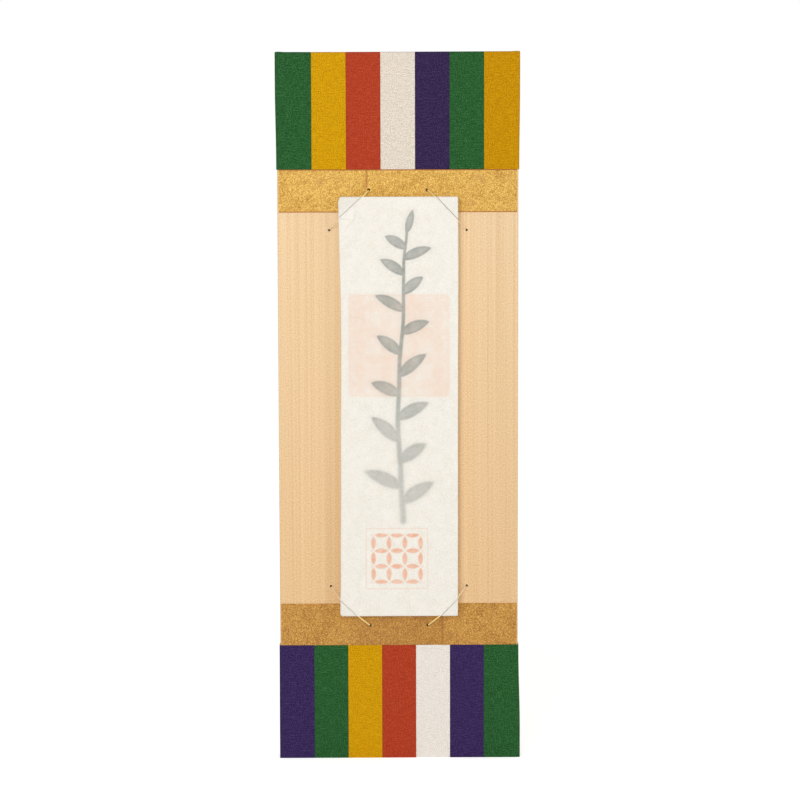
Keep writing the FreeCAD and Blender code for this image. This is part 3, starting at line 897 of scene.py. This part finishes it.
inside, rim, petal, _ = sevenTreasures(stamps["pink"])
pinkStamp = smooth(-0.45, 0.45, inside) * np.clip(
    0.6 + 0.3 * petal * smooth(1.0, 2.5, inside) + 0.45 * patchy(0.055, 0.055, 9.1) + rim, 0, 1)
inside, rim, petal, offRing = sevenTreasures(stamps["red"])
redStamp = np.maximum(rim, petal * smooth(2.8, 3.8, inside) * smooth(0.0, 0.9, offRing) * 0.95)
for markName, values in (("inkWash", inkWash), ("pinkStamp", pinkStamp), ("redStamp", redStamp),
                         ("grooveShade", grooveShade)):
    writeMark(mesh, markName, np.where(frontShare > 0.98, values, 0))
activate(wrapper)
bpy.ops.object.shade_smooth_by_angle(angle=math.radians(60))
dress(wrapper, wrapperPaper(), "ofuda_wrapper")
print("wrapper printed")


def knotPoints(centre, turnSign):  # an overhand knot drawn tight: one strand threaded through its own loop
    points = []
    for step in range(19):
        t = 2 * math.pi * (0.04 + 0.9 * step / 18)
        acrossKnot = math.sin(t) + 2 * math.sin(2 * t)
        upKnot = math.cos(t) - 2 * math.cos(2 * t)
        points.append((centre[0] + turnSign * 0.42 * acrossKnot, centre[1] - 0.6 * math.sin(3 * t),
                       centre[2] + 0.42 * upKnot))
    return points


def cordPoints(xSign, zSign):
    # tail, knot, hole, packet's edge, across the corner, and down again the same way, each with its thickness
    start, atEnd, atSide, finish, way, cornerward = cordCrossings(xSign, zSign)
    level = packet["front"] + cords["radius"] - cords["sink"]
    halves = []
    for hole, edge, direction, mouth, side, where in ((start, atEnd, way, cords["mouths"][0], 1, "full"),
                                                      (finish, atSide, -way, cords["mouths"][1], -1, "thin")):
        upright = hole + (edge - hole).normalized() * cords["beside"]
        if hole is start:
            upright += cornerward * cords["aside"][(xSign, zSign)]
        turnPoint = edge + direction * 0.15  # the cord's corner over the packet's edge, just inside it
        slant = (turnPoint - upright).length
        out = mouth + 0.12  # mm from the board's back, where it leaves the hole
        places = [(hole, 3.4), (upright, 3.9), (upright, 7.0), (upright, mouth - 0.9), (upright, out)]
        places += [(upright.lerp(turnPoint, part), out + (level - mouth - 0.12) * part)
                   for part in (0.8 / slant, 1 - 1.2 / slant)]  # past the hole's rim, and before the edge
        places += [(turnPoint, level + 0.06), (turnPoint + direction * 1.4, level)]
        knot = knotPoints((hole.x, -2.15, hole.y), side)
        points = [(knot[0][0] - side * 0.9, -0.55, knot[0][2] + 0.5)] + knot
        points += [(spot.x, -deep, spot.y) for spot, deep in places]
        thickness = [1] * (len(knot) + 2) + [cords[where][zSign]] * 6 + [1, 1]
        halves.append(list(zip(points, thickness)))
    middle = atEnd.lerp(atSide, 0.5)
    return halves[0] + [((middle.x, -level, middle.y), 1)] + halves[1][::-1]


def elasticCord(name, xSign, zSign):
    points = cordPoints(xSign, zSign)
    curve = bpy.data.curves.new(name, "CURVE")
    curve.dimensions = "3D"
    spline = curve.splines.new("NURBS")
    spline.points.add(len(points) - 1)
    for target, (spot, thick) in zip(spline.points, points):
        target.co = (*(Vector(spot) * mm), 1)
        target.radius = thick
    settle(spline, order_u=3, use_endpoint_u=True)
    settle(curve, resolution_u=5, bevel_depth=cords["radius"] * mm, bevel_resolution=3, use_fill_caps=True)
    linkPiece(name, curve)
    bpy.ops.object.convert(target="MESH")
    piece = bpy.context.object
    cores = []
    for across, up in (cords["inner"], cords["outer"]):  # the knot's packed middle, which closes its hole
        deselect()
        middle = cords["knotFront"] - cords["knotLong"] / 2
        bpy.ops.mesh.primitive_cylinder_add(
            vertices=20, radius=cords["knotWide"] / 2 * mm, depth=cords["knotLong"] * mm,
            location=(xSign * across * mm, -middle * mm, zSign * up * mm), rotation=(math.pi / 2, 0, 0))
        core = startPiece("knotMiddle")
        choose(core, "EDGE", lambda a, b: near(a.y, b.y) and (b - a).length < 1 * mm)
        bpy.ops.mesh.bevel(offset=cords["knotRound"] * mm, segments=3, affect="EDGES")
        mode("OBJECT")
        cores.append(core)
    activate(piece)
    for core in cores:
        core.select_set(True)
    bpy.ops.object.join()
    mesh = piece.data
    layer = mesh.uv_layers[0]
    layer.name = "braid"
    travelled = sum((Vector(b) - Vector(a)).length for (a, _), (b, _) in zip(points, points[1:]))
    shares = readAll(layer.data, "uv", 2)  # made into millimetres along the cord and turns round it
    layer.data.foreach_set("uv", np.column_stack((shares[:, 1] * travelled, shares[:, 0])).ravel())
    bpy.ops.object.shade_smooth()
    across, depth, up = (readAll(mesh.vertices, "co") / (mm, -mm, zSign * mm)).T
    onPacket = up < halfTall + zSign * packet["rise"]
    # the painted tone seen through the cord: 1 over gold paper, 0.5 over the packet, 0 over wood
    writeMark(mesh, "ground", np.where(np.abs(across) < halfWide, np.where(onPacket, 0.5, 1.0), 0.0))
    # painted shade on the cord where it lies in its hole
    writeMark(mesh, "inHoleShade", np.clip((0.5 - (depth - 10.0)) / 0.2, 0, 1) * (depth > 4))
    return piece


elasticMaterial = braidedElastic()
for zSign, endName in ((1, "top"), (-1, "bottom")):
    for xSign, sideName in ((-1, "left"), (1, "right")):
        cord = elasticCord(f"elastic_braid_{endName}_{sideName}", xSign, zSign)
        dress(cord, elasticMaterial, f"elastic_cord_{endName}_{sideName}")
print("cords drawn and knotted")


def seenShare(tree):  # 1 on rays that the camera sees straight, in a gloss or through glass, 0 on the rest
    path = addNode("LightPath", {}, tree=tree).outputs
    indirect = reckon("ADD", path["Is Glossy Ray"], path["Is Transmission Ray"])
    return reckon("ADD", path["Is Camera Ray"], indirect, clamped=True)


def paleFloor():
    # Matt white studio floor: its own lightness is lifted for the camera only, so it is white and the shadow
    # still falls on it
    material, tree = newMaterial("matt_white_floor")
    grain = speckle(objectSpot(tree), (60, 60, 60))
    return finished(material, {
        "Roughness": 0.9, "Base Color": ramp(grain, (0.0, "#f2f2f2"), (1.0, "#f6f6f6")),
        "Emission Color": "#ffffff", "Emission Strength": reckon("MULTIPLY", seenShare(tree), 0.6)})


studio = {
    "floor": 8.0,  # m
    "worldLevel": 0.405, "worldTone": "#fffdf8",
    "key": {"place": (-0.72, -2.1, 0.62), "size": 1.0, "watts": 21.8},
    "fill": {"place": (1.9, -1.4, 0.0), "size": 1.3, "watts": 20.0},
}
deselect()
bpy.ops.mesh.primitive_grid_add(x_subdivisions=8, y_subdivisions=8, size=studio["floor"],
                                location=(0, 0, cadBox[0].z))
floor = startPiece("studio_floor")
floor.data.materials.append(paleFloor())
for lampName in ("key", "fill"):
    facts = studio[lampName]
    aim = (-Vector(facts["place"])).to_track_quat("-Z", "Y").to_euler()
    bpy.ops.object.light_add(type="AREA", location=facts["place"], rotation=aim)
    lamp = bpy.context.object
    lamp.name = f"{lampName}_lamp"
    lamp.data.size = facts["size"]
    lamp.data.energy = facts["watts"]
world = bpy.data.worlds.new("studio")
bpy.context.scene.world = world
world.use_nodes = True
tree = world.node_tree
tree.nodes.clear()
seen = seenShare(tree)
background = addNode("Background", {}, {
    "Color": mixed(seen, studio["worldTone"], "#ffffff"),
    "Strength": ranged(seen, 0.0, 1.0, studio["worldLevel"], 1.0)})
addNode("OutputWorld", {}, {"Surface": background.outputs[0]})
print("studio lit")
